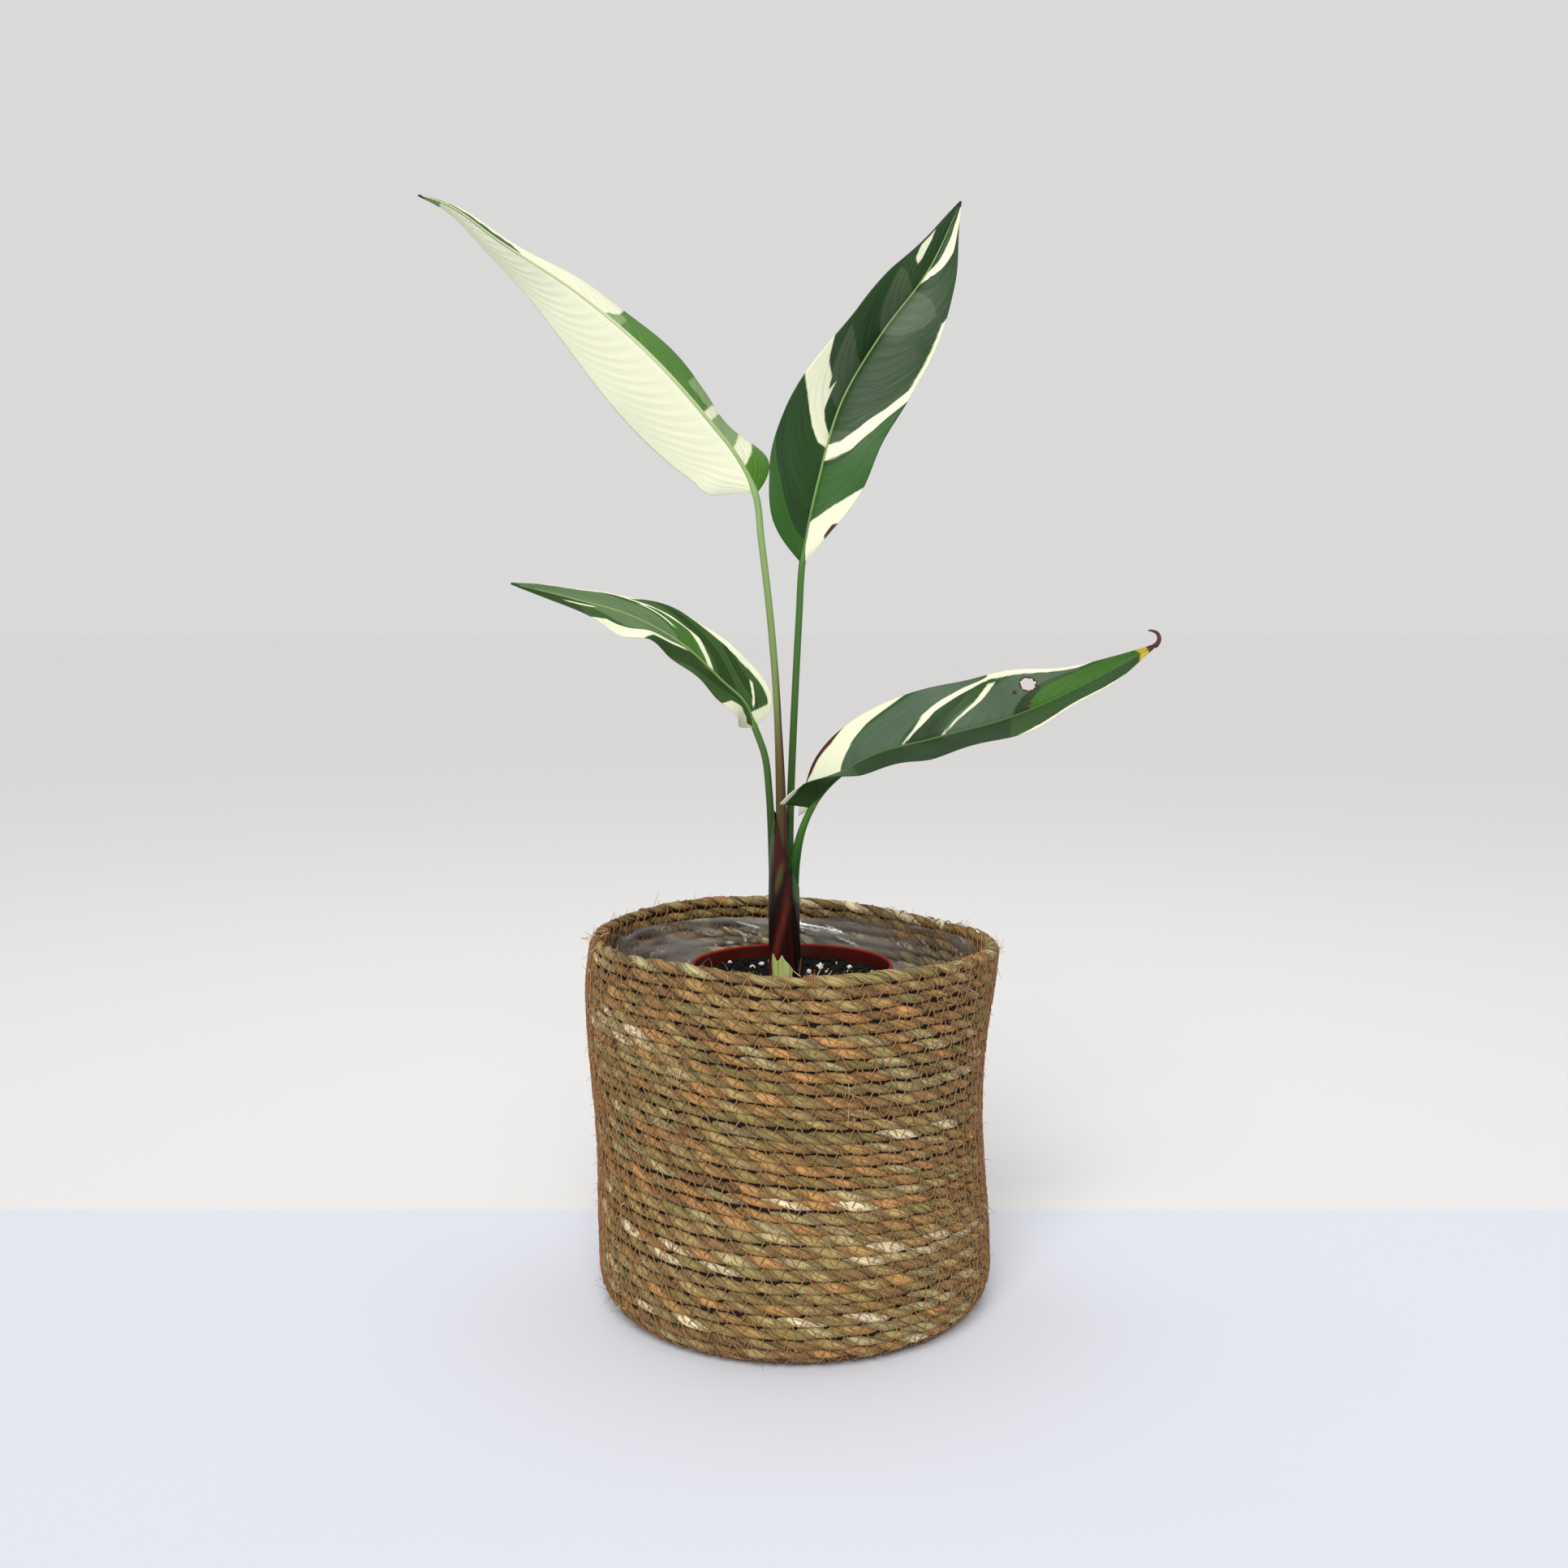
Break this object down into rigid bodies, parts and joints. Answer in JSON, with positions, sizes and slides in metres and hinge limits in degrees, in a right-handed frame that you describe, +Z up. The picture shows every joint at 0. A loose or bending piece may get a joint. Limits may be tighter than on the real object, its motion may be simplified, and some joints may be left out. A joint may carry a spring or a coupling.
{
  "type": "heliconia in basket",
  "caption": "Young variegated heliconia in a plastic nursery pot, standing in a film-lined round basket of sewn seagrass rope, as a decorative house plant",
  "frame": {"origin": "middle of the basket's flat underside, on the surface that it stands on", "axes": "+Z up, -Y the front that the picture shows, +X to the right seen from the front"},
  "size_m": [0.4027, 0.2414, 0.6553],
  "materials": {
    "seagrass_rope": "twisted dry seagrass, rough, sewn with brown thread",
    "clear_film": "clear film, wrinkled, glossy",
    "terracotta_plastic": "thin moulded plastic, satin",
    "peat_soil": "damp peat with perlite grains, rough",
    "leaf_sheath": "smooth living sheath, satin",
    "scale_leaf": "pale living scale leaf, satin",
    "variegated_leaf": "green and cream living leaf, satin, veined"
  },
  "bodies": {
    "root": {"basket": "seagrass_rope", "liner": "clear_film", "nursery_pot": "terracotta_plastic", "potting_soil": "peat_soil", "pseudostem": "leaf_sheath", "new_shoot": "scale_leaf", "leaf_upper_left": "variegated_leaf", "leaf_upper_right": "variegated_leaf", "leaf_lower_left": "variegated_leaf", "leaf_lower_right": "variegated_leaf"}
  },
  "joints": []
}
